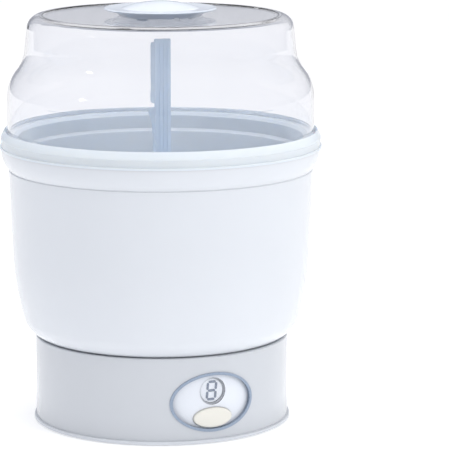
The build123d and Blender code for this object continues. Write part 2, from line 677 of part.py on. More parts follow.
def panel_gasket():
    """Soft ring between the panel's flange and the skirt."""
    ring = oval(TRIM_LIP - PANEL_FLANGE) - oval(TRIM_LIP)
    return ring & band(SKIRT_IN_R - GASKET_T, SKIRT_IN_R)


def display_window():
    """Clear round lens over the digit."""
    return through_front(Circle(WINDOW_R), WINDOW_UP) & band(WINDOW_BACK_R, PANEL_FACE_R + WINDOW_PROUD)


def digit_face_y():
    """Front face of the display module."""
    return -(WINDOW_BACK_R - SEGMENT_T - DIGIT_GAP)


def display_module():
    """Display block between the board and the window."""
    z = PANEL_Z + WINDOW_UP
    half_w, half_h = MODULE_W / 2, MODULE_H / 2
    shoulder_y = MODULE_GAP - PANEL_BACK_R
    case = block((-half_w, half_w), (shoulder_y, BOARD_FRONT_Y), (z - MODULE_DROP, z + half_h))
    return case + along_y(Circle(WINDOW_R - WINDOW_LEDGE - FIT), 0, z, digit_face_y(), shoulder_y)


def display_segments():
    """Seven bars of one numeral, on the face of the module."""
    z = PANEL_Z + WINDOW_UP
    cell = (DIGIT_H - SEGMENT_W) / 2
    bar_w = DIGIT_W - SEGMENT_W - 2 * SEGMENT_GAP
    bar_h = cell - SEGMENT_W + SEGMENT_W / 2 - SEGMENT_GAP
    front, back = digit_face_y() - SEGMENT_T, digit_face_y()
    bars = []
    lean = math.tan(math.radians(DIGIT_LEAN))
    for k in (-1, 0, 1):
        bars.append(along_y(SlotOverall(bar_w, SEGMENT_W), k * cell * lean, z + k * cell, front, back))
    upright_bar = Rot(0, 0, 90 - DIGIT_LEAN) * SlotOverall(bar_h, SEGMENT_W)
    for sx in (-1, 1):
        for sz in (-1, 1):
            x = sx * (DIGIT_W - SEGMENT_W) / 2 + sz * cell / 2 * lean
            bars.append(along_y(upright_bar, x, z + sz * cell / 2, front, back))
    return Compound(children=bars)


def button_flange_y():
    """Front face of the button's retaining flange, behind the panel."""
    edge = BUTTON_A + BUTTON_FLANGE
    return -math.sqrt(PANEL_BACK_R**2 - edge**2) + BUTTON_FLANGE_SINK


def start_button():
    """Oval push button: a domed hollow cap with a retaining flange and a central plunger."""
    z = PANEL_Z - BUTTON_DOWN
    front_r = PANEL_FACE_R + BUTTON_PROUD
    flange_back = button_flange_y() + BUTTON_FLANGE_T
    cap = along_y(Ellipse(BUTTON_A, BUTTON_B), 0, z, -SKIRT_R, flange_back) & upright(front_r, 0, SKIRT_TOP)
    cap = fillet(cap.edges().sort_by(Axis.Y)[:1], BUTTON_EDGE_R)
    inner = Ellipse(BUTTON_A - BUTTON_WALL, BUTTON_B - BUTTON_WALL)
    hollow = along_y(inner, 0, z, -SKIRT_R, flange_back) & upright(front_r - BUTTON_ROOM, 0, SKIRT_TOP)
    rim = Ellipse(BUTTON_A + BUTTON_FLANGE, BUTTON_B + BUTTON_FLANGE)
    cap += along_y(rim, 0, z, button_flange_y(), flange_back)
    plunger_tip = switch_front_y() - BUTTON_TRAVEL - FIT
    plunger = along_y(Circle(PLUNGER_R), 0, z, BUTTON_PROUD / 2 - front_r, plunger_tip)
    return cap - hollow + plunger


def switch_front_y():
    """Tip of the tact switch's actuator."""
    return BOARD_FRONT_Y - SWITCH_D - SWITCH_TIP


def tact_switch():
    """Miniature push switch on the board, behind the button."""
    z = PANEL_Z - BUTTON_DOWN
    case = along_y(Rectangle(SWITCH_W, SWITCH_W), 0, z, BOARD_FRONT_Y - SWITCH_D, BOARD_FRONT_Y)
    return case + along_y(Circle(SWITCH_TIP_R), 0, z, switch_front_y(), BOARD_FRONT_Y - SWITCH_D)


def button_light():
    """Small lamp inside the button's hollow."""
    z = PANEL_Z - BUTTON_DOWN
    tip = BOARD_FRONT_Y - LIGHT_L
    return along_y(Circle(LIGHT_R), LIGHT_X, z, tip, BOARD_FRONT_Y) + Pos(LIGHT_X, tip, z) * Sphere(LIGHT_R)


def control_board():
    """Circuit board, upright behind the panel."""
    z = (PANEL_Z - BOARD_H / 2, PANEL_Z + BOARD_H / 2)
    body = block((-BOARD_W / 2, BOARD_W / 2), (BOARD_FRONT_Y, BOARD_Y), z)
    for x, z in board_post_places():
        body -= along_y(Circle(SCREW_R + SCREW_PLAY), x, z, BOARD_FRONT_Y, BOARD_Y)
    return body


def board_screws():
    """Screws that hold the board to the panel's posts."""
    screws = []
    for x, z in board_post_places():
        shank = along_y(Circle(SCREW_R), x, z, BOARD_FRONT_Y - BOARD_SCREW_BITE, BOARD_Y)
        screws.append(shank + along_y(Circle(SCREW_HEAD_R), x, z, BOARD_Y, BOARD_Y + SCREW_HEAD_H))
    return Compound(children=screws)


def on_board(size, at):
    """Box on the rear of the board, given across, deep and high, by its left and lower edges."""
    return Pos(at[0], BOARD_Y, PANEL_Z + at[1]) * Box(*size, align=Align.MIN)


def board_relay():
    """Relay that switches the element, on the rear of the board."""
    return on_board(RELAY, RELAY_AT)


def board_supply():
    """Small transformer and two capacitors that feed the display and switch."""
    z = PANEL_Z + CAPACITOR_UP
    capacitors = [along_y(Circle(CAPACITOR_R), x, z, BOARD_Y, BOARD_Y + CAPACITOR_L) for x in CAPACITOR_X]
    return Compound(children=[on_board(TRANSFORMER, TRANSFORMER_AT), *capacitors])


def lead(points, radius):
    """Round wire along a route whose corners are eased."""
    radii = []
    for a, b, c in zip(points, points[1:], points[2:]):
        before, after = Vector(*b) - Vector(*a), Vector(*c) - Vector(*b)
        turn = math.radians(before.get_angle(after))
        radii.append(0.45 * min(before.length, after.length) / math.tan(turn / 2))
    path = FilletPolyline(*points, radius=radii)
    return sweep(Plane(path @ 0, z_dir=path % 0) * Circle(radius), path)


def element_leads():
    """Two insulated wires from the board to the element's tabs."""
    tab_end = SPREADER_Z - ELEMENT_TUBE_R - ELEMENT_LEG - COLLAR_H - TAB_L
    leads = []
    for side, (x, y) in zip((1, -1), element_ends()):
        route = [(side * across, BOARD_Y + behind, PANEL_Z + up) for across, behind, up in LEAD_ROUTE]
        leads.append(lead([*route, (x, y, tab_end - LEAD_END), (x, y, tab_end)], LEAD_R))
    return Compound(children=leads)


# ---- basket ----
def basket_section():
    """Half-section of the basket: floor, stepped wall, lid seat, lip and outer ring."""
    t = BASKET_WALL
    seat = LID_SEAT_Z
    step = seat - BASKET_STEP_DROP
    floor = BASKET_FLOOR_Z
    rib_r = TUB_RIM_R - TUB_WALL - RING_RIB_PLAY
    lip_r = LID_SEAT_R + RING_LIP_DRAFT
    face_r = RING_R - RING_BEAD_OUT
    face_top = TUB_RIM_Z + RING_FACE_H
    inner_side = [
        (0, floor + t),
        (BASKET_FLOOR_R, floor + t),
        (BASKET_STEP_R, step),
        (BASKET_COLLAR_R - COLLAR_DRAFT, step + BASKET_STEP_RISE),
        (BASKET_COLLAR_R, seat - COLLAR_BEVEL),
        (BASKET_COLLAR_R + COLLAR_BEVEL, seat),
        (LID_SEAT_R, seat),
        (lip_r, seat + RING_LIP),
        (lip_r + RING_LIP_W, seat + RING_LIP),
        (face_r, face_top + RING_PANEL_H),
        (face_r, face_top),
        (face_r - RING_PANEL_IN, face_top - RING_PANEL_IN),
        (face_r - RING_PANEL_IN, TUB_RIM_Z + RING_BEAD_H),
        (RING_R - RING_PANEL_IN, TUB_RIM_Z + RING_BEAD_H),
        (RING_R, TUB_RIM_Z + RING_BEAD_H - RING_PANEL_IN),
    ]
    outer_side = [
        (RING_R, TUB_RIM_Z),
        (RING_R - RING_WALL, TUB_RIM_Z),
        (RING_R - RING_WALL, seat - t),
        (rib_r, seat - t),
        (rib_r, TUB_RIM_Z - RING_RIB_H),
        (rib_r - RING_RIB_T, TUB_RIM_Z - RING_RIB_H),
        (rib_r - RING_RIB_T, seat - t),
        (BASKET_COLLAR_R + t + COLLAR_BEVEL, seat - t),
        (BASKET_COLLAR_R + t, seat - t - COLLAR_BEVEL),
        (BASKET_COLLAR_R + t - COLLAR_DRAFT, step + BASKET_STEP_RISE),
        (BASKET_STEP_R + t, step - COLLAR_DRAFT),
        (BASKET_FLOOR_R + t, floor),
        (0, floor),
    ]
    return make_face(Polyline(*inner_side, *outer_side, close=True))


def basket():
    """Basket with a slotted floor, low ribs between the bottles' places and a socket for the stem."""
    body = turned(basket_section())
    floor_top = BASKET_FLOOR_Z + BASKET_WALL
    half_l, half_t = DIVIDER_L / 2, DIVIDER_T / 2
    divider = block((-half_l, half_l), (-half_t, half_t), (floor_top, floor_top + DIVIDER_H))
    slot = extrude(SlotOverall(SLOT_L, SLOT_W), BASKET_WALL)
    for place in on_circle(BOTTLE_PITCH_R, BOTTLE_COUNT):
        body += place * divider
    for place in on_circle(BOTTLE_PITCH_R, BOTTLE_COUNT, 30):
        for k in range(SLOTS_PER_BOTTLE):
            across = (k - (SLOTS_PER_BOTTLE - 1) / 2) * SLOT_PITCH
            body -= place * Pos(0, across, BASKET_FLOOR_Z) * slot
    outer_w = STEM_W + 2 * (FIT + SOCKET_WALL)
    outer_d = STEM_D + 2 * (FIT + SOCKET_WALL)
    socket = extrude(Pos(0, 0, floor_top) * RectangleRounded(outer_w, outer_d, SOCKET_CORNER_R), SOCKET_H)
    socket -= Pos(0, 0, floor_top) * extrude(Rectangle(STEM_W + 2 * FIT, STEM_D + 2 * FIT), SOCKET_H)
    return body + socket


def stem_web():
    """Side web of the stem, seen from the side (x is depth from the front face, y is height)."""
    foot = BASKET_FLOOR_Z + BASKET_WALL
    top = STEM_TOP_Z - STEM_WING_DROP
    notch = STEM_NOTCH_Z
    upper = Pos(0, notch + STEM_NOTCH_H) * Rectangle(
        STEM_D, top - notch - STEM_NOTCH_H, align=Align.MIN
    )
    upper = fillet(upper.vertices().group_by(Axis.X)[-1], STEM_CORNER_R)
    lower = make_face(
        Polyline(
            (0, foot),
            (STEM_LOWER_D, foot),
            (STEM_LOWER_D, notch - STEM_HOOK_H),
            (STEM_LOWER_D + STEM_HOOK_SWELL, notch - STEM_HOOK_H / 2),
            (STEM_HOOK_REACH, notch - STEM_HOOK_DROP - STEM_HOOK_TIP),
            (STEM_HOOK_REACH, notch - STEM_HOOK_DROP),
            (STEM_T, notch + STEM_HOOK_RISE),
            (0, notch + STEM_HOOK_RISE),
            close=True,
        )
    )
    return upper + lower


def basket_stem():
    """Upright carrying stem: a grooved front plate with two side webs, notched for a tray."""
    foot = BASKET_FLOOR_Z + BASKET_WALL
    front = -STEM_D / 2
    plate = block((-STEM_W / 2, STEM_W / 2), (front, front + STEM_T), (foot, STEM_TOP_Z))
    plate = fillet(plate.edges().filter_by(Axis.Y).group_by(Axis.Z)[-1], STEM_TOP_R)
    body = plate
    for x in (-STEM_W / 2, STEM_W / 2 - STEM_T):
        body += extrude(Plane.YZ.offset(x) * Pos(front, 0) * stem_web(), STEM_T)
    for z in (foot, STEM_NOTCH_Z - STEM_HOOK_H - STEM_TIE_DROP):
        body += block((-STEM_W / 2, STEM_W / 2), (front + STEM_T, front + STEM_LOWER_D), (z, z + STEM_TIE_T))
    height = (foot + SOCKET_H + GROOVE_START, STEM_TOP_Z - GROOVE_END)
    for k in range(STEM_GROOVES):
        x = (k - (STEM_GROOVES - 1) / 2) * GROOVE_PITCH
        body -= block((x - GROOVE_W / 2, x + GROOVE_W / 2), (front, front + GROOVE_D), height)
    return body


# ---- lid ----
def lid_path():
    """Outer face of the lid from its foot to the middle of its top."""
    foot_r = LID_SEAT_R - LID_FOOT_PLAY
    foot_top = LID_SEAT_Z + LID_FOOT_H
    low = Polyline(
        (foot_r, LID_SEAT_Z),
        (foot_r, foot_top),
        (LID_R, foot_top + LID_FOOT_SLOPE_H),
        (LID_R, LID_SHOULDER_Z),
    )
    step = LID_R - LID_NECK_R
    lean = 2 * math.atan2(step, LID_SHOULDER_H)
    radius = LID_SHOULDER_H / (2 * math.sin(lean))
    convex = JernArc(low @ 1, low % 1, radius, math.degrees(lean))
    concave = JernArc(convex @ 1, convex % 1, radius, -math.degrees(lean))
    top_r = LID_NECK_R - LID_UPPER_DRAFT
    upper = Line(concave @ 1, (top_r, (concave @ 1).Y + LID_UPPER_H))
    corner = TangentArc(upper @ 1, (top_r - LID_CORNER_R, LID_RIM_Z), tangent=upper % 1)
    drop_r = top_r - LID_CORNER_R - LID_DROP_IN
    top = Polyline(
        corner @ 1,
        (drop_r, LID_RIM_Z),
        (drop_r - LID_DROP_W, LID_TOP_Z),
        (0, LID_TOP_Z),
    )
    return Curve() + [low, convex, concave, upper, corner, top]


def lid_shell():
    """Clear dome with slots for the handle's legs and steam holes between them."""
    body = turned(wall(lid_path(), LID_WALL))
    low, high = LID_TOP_Z - LID_WALL, LID_TOP_Z
    for place in on_circle(LEG_PITCH_R, LEG_COUNT, 90):
        half_t, half_w = LEG_T / 2 + LEG_PLAY, LEG_W / 2 + LEG_PLAY
        body -= place * block((-half_t, half_t + LEG_BARB), (-half_w, half_w), (low, high))
    for place in on_circle(LEG_PITCH_R, LEG_COUNT, 30):
        body -= place * upright(VENT_HOLE_R, low, high)
    return body


def knob_outline(inset, bottom):
    """Half-section of the knob down to a height, shrunk all round by a wall."""
    z = LID_TOP_Z
    flange = z + KNOB_NECK_H
    crown = flange + KNOB_EDGE_T
    top = z + KNOB_DOME_H
    neck = Polyline((0, bottom), (KNOB_NECK_R - inset, bottom), (KNOB_NECK_TOP_R - inset, flange))
    if inset:
        edge = Line(neck @ 1, (KNOB_DOME_R - inset, crown - inset))
    else:
        edge = Polyline(
            neck @ 1,
            (KNOB_R - KNOB_EDGE_T / 2, flange),
            (KNOB_R, flange + KNOB_EDGE_T / 2),
            (KNOB_R - KNOB_EDGE_T / 2, crown),
            (KNOB_DOME_R, crown - KNOB_DOME_SUNK),
        )
    shoulder = edge @ 1
    rise = top - inset - shoulder.Y
    radius = (shoulder.X**2 + rise**2) / (2 * rise)
    half = math.asin(shoulder.X / radius) / 2
    middle = (radius * math.sin(half), top - inset - radius * (1 - math.cos(half)))
    dome = ThreePointArc(shoulder, middle, (0, top - inset))
    return make_face(Curve() + [neck, edge, dome, Line(dome @ 1, (0, bottom))])


def lid_handle():
    """Round knob: a finger flange on a tapered neck, a low dome, steam notches and three snap legs."""
    z = LID_TOP_Z
    solid = turned(knob_outline(0, z))
    body = solid - turned(knob_outline(KNOB_WALL, z))
    for place in on_circle(0, LEG_COUNT, 30):
        body -= place * block((0, KNOB_R), (-NOTCH_W / 2, NOTCH_W / 2), (z, z + NOTCH_H))
    under = z - LID_WALL
    foot = under - LEG_BARB_H - FIT
    reach = solid + upright(KNOB_NECK_R, foot, z)
    for place in on_circle(LEG_PITCH_R, LEG_COUNT, 90):
        leg = block((-LEG_T / 2, LEG_T / 2), (-LEG_W / 2, LEG_W / 2), (foot, z + KNOB_DOME_H))
        barb = block((0, LEG_T / 2 + LEG_BARB), (-LEG_W / 2, LEG_W / 2), (foot, under - FIT))
        body += (place * (leg + barb)) & reach
    return body


PARTS = {
    "bottom_cover": bottom_cover,
    "rubber_feet": rubber_feet,
    "cover_screws": cover_screws,
    "base_skirt": base_skirt,
    "cord_gland": cord_gland,
    "outer_shell": outer_shell,
    "inner_tub": inner_tub,
    "body_screws": body_screws,
    "heating_plate": heating_plate,
    "plate_seal": plate_seal,
    "plate_retainer": plate_retainer,
    "retainer_screws": retainer_screws,
    "heat_spreader": heat_spreader,
    "heating_element": heating_element,
    "element_terminals": element_terminals,
    "thermostat": thermostat,
    "thermal_fuse": thermal_fuse,
    "fuse_clip": fuse_clip,
    "panel_trim": panel_trim,
    "control_panel": control_panel,
    "panel_gasket": panel_gasket,
    "display_window": display_window,
    "display_module": display_module,
    "display_segments": display_segments,
    "start_button": start_button,
    "tact_switch": tact_switch,
    "button_light": button_light,
    "control_board": control_board,
    "board_screws": board_screws,
    "board_relay": board_relay,
    "board_supply": board_supply,
    "element_leads": element_leads,
    "basket": basket,
    "basket_stem": basket_stem,
    "lid_shell": lid_shell,
    "lid_handle": lid_handle,
}

os.makedirs("parts", exist_ok=True)
for name, make in PARTS.items():
    export_step(make(), f"parts/{name}.step")
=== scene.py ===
"""Looks of an electric steam steriliser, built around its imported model.

The model keeps every size and every moving part. This script gives each piece the finish of the real
thing, lights it softly on a pale surface and sets the camera.
"""

import json
import logging
import math
from dataclasses import dataclass, field
from enum import Enum

import bpy
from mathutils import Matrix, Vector

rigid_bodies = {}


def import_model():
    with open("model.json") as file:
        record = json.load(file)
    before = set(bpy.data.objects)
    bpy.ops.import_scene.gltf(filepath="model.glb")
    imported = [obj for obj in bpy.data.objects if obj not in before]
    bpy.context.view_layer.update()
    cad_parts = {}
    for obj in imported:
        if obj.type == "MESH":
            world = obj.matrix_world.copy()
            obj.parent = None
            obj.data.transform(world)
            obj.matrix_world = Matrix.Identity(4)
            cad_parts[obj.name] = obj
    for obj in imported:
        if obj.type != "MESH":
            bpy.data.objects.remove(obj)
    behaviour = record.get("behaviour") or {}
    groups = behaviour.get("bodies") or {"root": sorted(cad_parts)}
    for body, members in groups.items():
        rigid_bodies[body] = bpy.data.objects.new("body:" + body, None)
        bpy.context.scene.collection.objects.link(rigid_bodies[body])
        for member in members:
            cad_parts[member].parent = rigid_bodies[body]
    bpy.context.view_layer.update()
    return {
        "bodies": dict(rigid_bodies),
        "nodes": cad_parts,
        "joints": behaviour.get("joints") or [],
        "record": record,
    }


LOG = logging.getLogger("steriliser")
Triple = tuple[float, float, float]
Colour = Triple
Span = tuple[float, float]
# Painted shade in creases: reach, span and samples of the ambient occlusion that darkens colours there.
CREASE_SHADE_REACH = 0.022
CREASE_SHADE_SPAN = (0.35, 0.95)
CREASE_SHADE_SAMPLES = 6
TONE_SPAN = (0.35, 0.65)
WIDE_SPAN = (0.3, 0.7)
FINE_OCTAVES = 2.0
PLASTIC_IOR = 1.5
COAT_ROUGHNESS = 0.08
GRAIN_DEPTH = 0.00002


# ---- finishes ----
class Graph:
    """A material's node tree, with short ways to add nodes and join them."""

    def __init__(self, name: str) -> None:
        """Start an empty material with a Principled shader joined to its output.

        Args:
            name: The material's name.
        """
        self.material = bpy.data.materials.new(name)
        self.material.use_nodes = True
        self.tree = self.material.node_tree
        self.tree.nodes.clear()
        self.output = self.node("ShaderNodeOutputMaterial")
        self.shader = self.node("ShaderNodeBsdfPrincipled")
        self.join(self.shader, "BSDF", self.output, "Surface")

    def node(self, kind: str, **values: object) -> bpy.types.Node:
        """Add a node and set its properties or inputs.

        Args:
            kind: The node's type name.
            **values: Properties, or inputs with spaces written as underscores.

        Returns:
            The new node.
        """
        made = self.tree.nodes.new(kind)
        for key, value in values.items():
            if hasattr(made, key):
                setattr(made, key, value)
            else:
                made.inputs[key.replace("_", " ")].default_value = value
        return made

    def join(self, source: bpy.types.Node, out: str | int, target: bpy.types.Node, into: str | int) -> None:
        """Join one node's output to another's input."""
        self.tree.links.new(source.outputs[out], target.inputs[into])

    def set(self, **values: object) -> None:
        """Set inputs of the Principled shader, with spaces written as underscores."""
        for key, value in values.items():
            self.shader.inputs[key.replace("_", " ")].default_value = value

    def place(self) -> bpy.types.Node:
        """Return a coordinate node, whose object output follows the piece in metres."""
        return self.node("ShaderNodeTexCoord")

    def mottle(self, scale: float, detail: float = 3.0) -> bpy.types.Node:
        """Add noise that follows the piece.

        Args:
            scale: Noise cells per metre.
            detail: Octaves of finer noise.

        Returns:
            The noise node.
        """
        noise = self.node("ShaderNodeTexNoise", Scale=scale, Detail=detail)
        self.join(self.place(), "Object", noise, "Vector")
        return noise

    def ramp(self, source: bpy.types.Node, out: str, low: Colour, high: Colour, span: Span) -> bpy.types.Node:
        """Turn a value into a colour between two others.

        Args:
            source: The node that gives the value.
            out: The name of its output.
            low: The colour at the span's start.
            high: The colour at the span's end.
            span: The values at which the colours are reached.

        Returns:
            The ramp node.
        """
        ramp = self.node("ShaderNodeValToRGB")
        for stop, place, colour in zip(ramp.color_ramp.elements, span, (low, high)):
            stop.position = place
            stop.color = (*colour, 1.0)
        self.join(source, out, ramp, "Fac")
        return ramp

    def gloss(self, source: bpy.types.Node, roughness: float, spread: Span) -> None:
        """Let a value vary the roughness.

        Args:
            source: The noise node that gives the value.
            roughness: The middle roughness.
            spread: Its lowest and highest share.
        """
        low, high = (min(1.0, roughness * share) for share in spread)
        wear = self.ramp(source, "Fac", (low,) * 3, (high,) * 3, WIDE_SPAN)
        self.join(wear, "Color", self.shader, "Roughness")

    def paint_crease_shade(self, tone: bpy.types.Node, amount: float) -> None:
        """Paint shade into a colour: darken it a little in creases, standing in for the shade that falls
        there.

        Args:
            tone: The node that gives the colour.
            amount: How much darker the deepest creases are made, as painted shade.
        """
        # Painted shade: ambient occlusion multiplies the colour darker in creases and recesses.
        depth = self.node("ShaderNodeAmbientOcclusion", Distance=CREASE_SHADE_REACH)
        depth.samples = CREASE_SHADE_SAMPLES
        shadow = self.ramp(depth, "AO", (1 - amount,) * 3, (1.0, 1.0, 1.0), CREASE_SHADE_SPAN)
        mix = self.node("ShaderNodeMix", data_type="RGBA", blend_type="MULTIPLY")
        mix.inputs["Factor"].default_value = 1.0
        self.tree.links.new(tone.outputs["Color"], mix.inputs[6])
        self.tree.links.new(shadow.outputs["Color"], mix.inputs[7])
        self.tree.links.new(mix.outputs[2], self.shader.inputs["Base Color"])

    def scatter(self, share: float, radius: Triple, depth: float) -> None:
        """Let light travel a little way under the surface.

        Args:
            share: How much of the light does so.
            radius: How far red, green and blue go, against each other.
            depth: How far they go, in metres.
        """
        self.set(Subsurface_Weight=share, Subsurface_Radius=radius, Subsurface_Scale=depth)

    def relief(self, source: bpy.types.Node, out: str, depth: float, strength: float) -> None:
        """Let a value raise the surface.

        Args:
            source: The node that gives the height.
            out: The name of its output.
            depth: Height of the full value, in metres.
            strength: How much of it shows.
        """
        bump = self.node("ShaderNodeBump", Distance=depth, Strength=strength)
        self.join(source, out, bump, "Height")
        self.join(bump, "Normal", self.shader, "Normal")


def shade(colour: Colour, factor: float) -> Colour:
    """Return the colour made darker or lighter by a factor."""
    return tuple(min(1.0, channel * factor) for channel in colour)


@dataclass(frozen=True)
class Moulded:
    """Opaque moulded plastic or rubber, with slight mottle and moulding texture, and optional painted shade
    in creases.
    """

    name: str
    colour: Colour
    roughness: float = 0.3
    coat: float = 0.0
    scatter: float = 0.0
    grain: float = 900.0
    depth: float = 0.00003
    relief: float = 0.25
    cloud: float = 14.0
    spread: Span = (0.9, 1.12)
    scatter_radius: Triple = (1.0, 1.0, 1.1)
    scatter_depth: float = 0.004
    variation: float = 0.03
    # Painted shade: how much darker the colour is made in creases and recesses.
    crease_shade: float = 0.0

    def make(self) -> bpy.types.Material:
        """Return the finished material."""
        graph = Graph(self.name)
        broad = graph.mottle(self.cloud)
        tone = graph.ramp(broad, "Fac", shade(self.colour, 1 - self.variation), self.colour, TONE_SPAN)
        # Painted shade: darken the colour where ambient occlusion finds creases.
        if self.crease_shade:
            graph.paint_crease_shade(tone, self.crease_shade)
        else:
            graph.join(tone, "Color", graph.shader, "Base Color")
        fine = graph.mottle(self.grain, FINE_OCTAVES)
        graph.gloss(fine, self.roughness, self.spread)
        graph.relief(fine, "Fac", self.depth, self.relief)
        graph.set(Coat_Weight=self.coat, Coat_Roughness=COAT_ROUGHNESS, IOR=PLASTIC_IOR)
        if self.scatter:
            graph.scatter(self.scatter, self.scatter_radius, self.scatter_depth)
        return graph.material


@dataclass(frozen=True)
class Clear:
    """Clear or tinted see-through plastic that lets light reach what it covers."""

    name: str
    tint: Colour
    haze: float = 0.02
    shadow: float = 0.15
    ior: float = 1.3
    cloud: float = 20.0
    smear: float = 60.0
    unevenness: float = 0.015
    spread: Span = (0.8, 1.2)

    def make(self) -> bpy.types.Material:
        """Return the finished material."""
        graph = Graph(self.name)
        cloud = graph.mottle(self.cloud)
        tone = graph.ramp(cloud, "Fac", shade(self.tint, 1 - self.unevenness), self.tint, WIDE_SPAN)
        graph.join(tone, "Color", graph.shader, "Base Color")
        graph.gloss(graph.mottle(self.smear), self.haze, self.spread)
        graph.set(Transmission_Weight=1.0, IOR=self.ior)
        thin = graph.node("ShaderNodeBsdfTransparent")
        graph.join(tone, "Color", thin, "Color")
        path = graph.node("ShaderNodeLightPath")
        share = graph.node("ShaderNodeMath", operation="MULTIPLY")
        graph.join(path, "Is Shadow Ray", share, 0)
        share.inputs[1].default_value = 1.0 - self.shadow
        mix = graph.node("ShaderNodeMixShader")
        graph.join(share, "Value", mix, 0)
        graph.join(graph.shader, "BSDF", mix, 1)
        graph.join(thin, "BSDF", mix, 2)
        graph.join(mix, "Shader", graph.output, "Surface")
        return graph.material


@dataclass(frozen=True)
class Milky:
    """Tinted translucent plastic: mostly body colour, with some of what lies behind it showing through."""

    name: str
    colour: Colour
    clearness: float = 0.25
    roughness: float = 0.22
    scatter: float = 0.3
    scatter_radius: Triple = (0.9, 1.0, 1.2)
    scatter_depth: float = 0.006
    variation: float = 0.03
    cloud: float = 18.0
    grain: float = 700.0
    relief: float = 0.2
    spread: Span = (0.9, 1.1)

    def make(self) -> bpy.types.Material:
        """Return the finished material."""
        graph = Graph(self.name)
        cloud = graph.mottle(self.cloud)
        tone = graph.ramp(cloud, "Fac", shade(self.colour, 1 - self.variation), self.colour, TONE_SPAN)
        graph.join(tone, "Color", graph.shader, "Base Color")
        fine = graph.mottle(self.grain, FINE_OCTAVES)
        graph.gloss(fine, self.roughness, self.spread)
        graph.relief(fine, "Fac", GRAIN_DEPTH, self.relief)
        graph.scatter(self.scatter, self.scatter_radius, self.scatter_depth)
        behind = graph.node("ShaderNodeBsdfTransparent")
        graph.join(tone, "Color", behind, "Color")
        mix = graph.node("ShaderNodeMixShader")
        mix.inputs[0].default_value = self.clearness
        graph.join(graph.shader, "BSDF", mix, 1)
        graph.join(behind, "BSDF", mix, 2)
        graph.join(mix, "Shader", graph.output, "Surface")
        return graph.material


@dataclass(frozen=True)
class Metal:
    """Bare metal with fine scratches that follow one direction or none."""

    name: str
    colour: Colour
    roughness: float = 0.3
    stretch: Triple = (1.0, 1.0, 1.0)
    scratch: float = 400.0
    octaves: float = 4.0
    dulling: float = 0.9
    relief: float = 0.3
    spread: Span = (0.8, 1.3)

    def make(self) -> bpy.types.Material:
        """Return the finished material."""
        graph = Graph(self.name)
        mapping = graph.node("ShaderNodeMapping")
        mapping.inputs["Scale"].default_value = self.stretch
        graph.join(graph.place(), "Object", mapping, "Vector")
        lines = graph.node("ShaderNodeTexNoise", Scale=self.scratch, Detail=self.octaves)
        graph.join(mapping, "Vector", lines, "Vector")
        tone = graph.ramp(lines, "Fac", shade(self.colour, self.dulling), self.colour, WIDE_SPAN)
        graph.join(tone, "Color", graph.shader, "Base Color")
        graph.gloss(lines, self.roughness, self.spread)
        graph.relief(lines, "Fac", GRAIN_DEPTH, self.relief)
        graph.set(Metallic=1.0)
        return graph.material


class Dresser:
    """Gives finishes to the model's pieces and counts them."""

    def __init__(self, frame: dict) -> None:
        """Keep the loaded model.
        """
        self.nodes = frame["nodes"]
        self.done: set[str] = set()

    def dress(self, finish: Moulded | Clear | Milky | Metal, *names: str) -> None:
        """Give one finish to some pieces.

        Args:
            finish: The finish.
            *names: The pieces' names.
        """
        material = finish.make()
        for name in names:
            piece = self.nodes[name]
            for slot in piece.material_slots:
                slot.material = material
            self.done.add(name)
            LOG.info("%s takes %s", name, finish.name)


# ---- sub-assemblies ----
@dataclass
class Housing:
    """White shells that stand on the table: base, body and tub."""

    white: Colour = (0.69, 0.72, 0.765)
    gloss: float = 0.22
    variation: float = 0.012
    # Painted shade: the base is the same white plastic, darkened by this share to stand in for the dimmer
    # light low down.
    base_shade_share: float = 0.83
    cover_share: float = 0.96

    def dress(self, dresser: Dresser) -> None:
        """Dress the shells, the cover, the feet and the lead's bush."""
        even = {"roughness": self.gloss, "variation": self.variation}
        # Painted shade: the body and tub colour is darkened in the cove under the rim and other creases.
        body = Moulded("white_housing", self.white, coat=0.25, scatter=0.12, crease_shade=0.15, **even)
        # Painted shade: a darker copy of the body white for the base, plus painted shade in its creases.
        base = Moulded("white_base_shaded", shade(self.white, self.base_shade_share), coat=0.2, crease_shade=0.08, **even)
        cover = Moulded("cover_white", shade(self.white, self.cover_share), 0.4, grain=1500.0, variation=0.02)
        dresser.dress(body, "outer_shell", "inner_tub")
        dresser.dress(base, "base_skirt")
        dresser.dress(cover, "bottom_cover")
        dresser.dress(Moulded("foot_rubber", (0.30, 0.31, 0.33), 0.75, grain=1200.0), "rubber_feet")
        dresser.dress(Moulded("bush_white", (0.72, 0.73, 0.75), 0.55), "cord_gland")


@dataclass
class Panel:
    """Oval control panel, its display and button, and the board behind it."""

    face: Colour = (0.77, 0.805, 0.865)
    ring: Colour = (0.27, 0.335, 0.44)

    def dress(self, dresser: Dresser) -> None:
        """Dress the panel's pieces and the electronics."""
        # Painted shade: the panel face colour is darkened in its recess, standing in for the recess's shadow.
        dresser.dress(Moulded("panel_grey", self.face, 0.32, coat=0.2, crease_shade=0.35), "control_panel")
        dresser.dress(Moulded("trim_grey", self.ring, 0.28, coat=0.3), "panel_trim")
        dresser.dress(Clear("window_clear", (0.985, 0.99, 1.0), 0.03, shadow=0.0, ior=1.12), "display_window")
        dresser.dress(Moulded("display_face", (0.93, 0.96, 1.0), 0.5), "display_module")
        dresser.dress(Moulded("segment_grey", (0.27, 0.31, 0.38), 0.45), "display_segments")
        dresser.dress(Moulded("button_cream", (0.80, 0.785, 0.72), 0.35, scatter=0.12), "start_button")
        dresser.dress(Moulded("lamp_orange", (0.90, 0.40, 0.08), 0.2), "button_light")
        dresser.dress(Moulded("board_green", (0.02, 0.12, 0.05), 0.3, variation=0.15), "control_board")
        resin = Moulded("black_resin", (0.02, 0.02, 0.023), 0.45)
        dresser.dress(resin, "tact_switch", "board_relay", "board_supply")
        dresser.dress(Moulded("silicone", (0.62, 0.62, 0.62), 0.55), "panel_gasket", "plate_seal")


